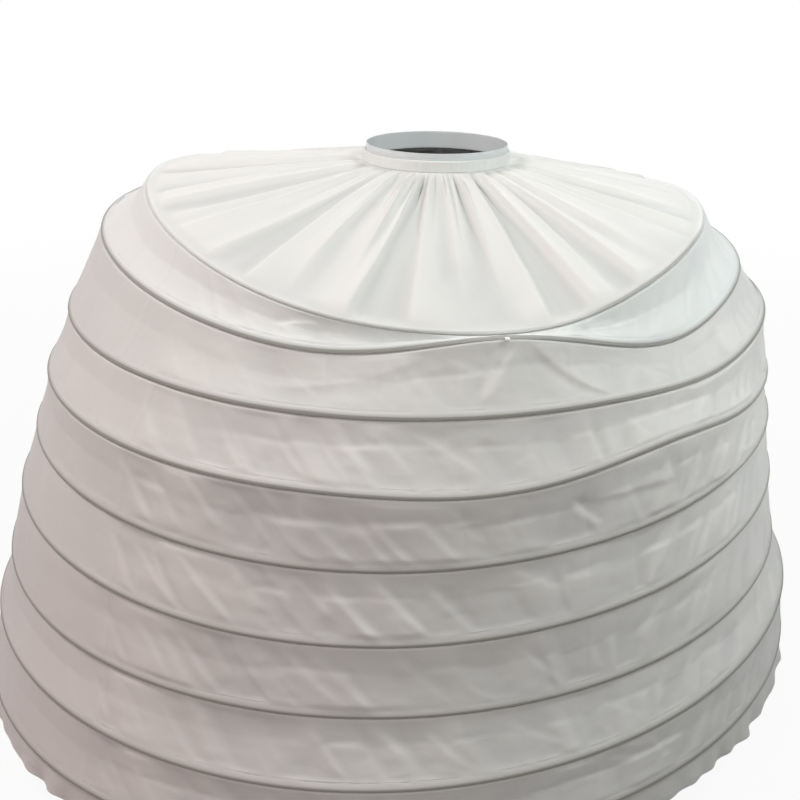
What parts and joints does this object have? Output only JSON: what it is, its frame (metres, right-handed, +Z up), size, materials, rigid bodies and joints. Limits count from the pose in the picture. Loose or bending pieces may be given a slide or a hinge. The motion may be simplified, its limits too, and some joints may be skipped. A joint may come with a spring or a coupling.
{
  "type": "hoop petticoat",
  "caption": "Floor-length crinoline cage: a gathered yoke and tiers of plain cloth hang from an elastic waist, each edged by a steel hoop in a casing.",
  "frame": {"origin": "centre of the waist opening, at the top edge of the waist elastic", "axes": "+Z up along the wearer's body, front towards -Y, wearer's right hand towards -X"},
  "size_m": [1.4838, 1.4833, 0.967],
  "materials": {
    "elastic": "ribbed woven elastic",
    "band_cloth": "matt woven cotton",
    "yoke_cloth": "fine woven lining cloth, soft sheen",
    "tier_cloth": "fine woven lining cloth, soft sheen",
    "coated_steel": "spring steel in a smooth white coat",
    "plain_steel": "bright zinc plate"
  },
  "bodies": {
    "root": {"waist_elastic": "elastic", "waistband": "band_cloth", "yoke": "yoke_cloth", "tier_2": "tier_cloth", "tier_3": "tier_cloth", "tier_4": "tier_cloth", "tier_5": "tier_cloth", "tier_6": "tier_cloth", "tier_7": "tier_cloth", "tier_8": "tier_cloth", "tier_9": "tier_cloth", "hem_frill": "tier_cloth", "hoop_1": "coated_steel", "hoop_2": "coated_steel", "hoop_3": "coated_steel", "hoop_4": "coated_steel", "hoop_5": "coated_steel", "hoop_6": "coated_steel", "hoop_7": "coated_steel", "hoop_8": "coated_steel", "hoop_9": "coated_steel", "ferrule_1": "plain_steel", "ferrule_2": "plain_steel", "ferrule_3": "plain_steel", "ferrule_4": "plain_steel", "ferrule_5": "plain_steel", "ferrule_6": "plain_steel", "ferrule_7": "plain_steel", "ferrule_8": "plain_steel", "ferrule_9": "plain_steel", "hoop_end_tip": "plain_steel"}
  },
  "joints": []
}
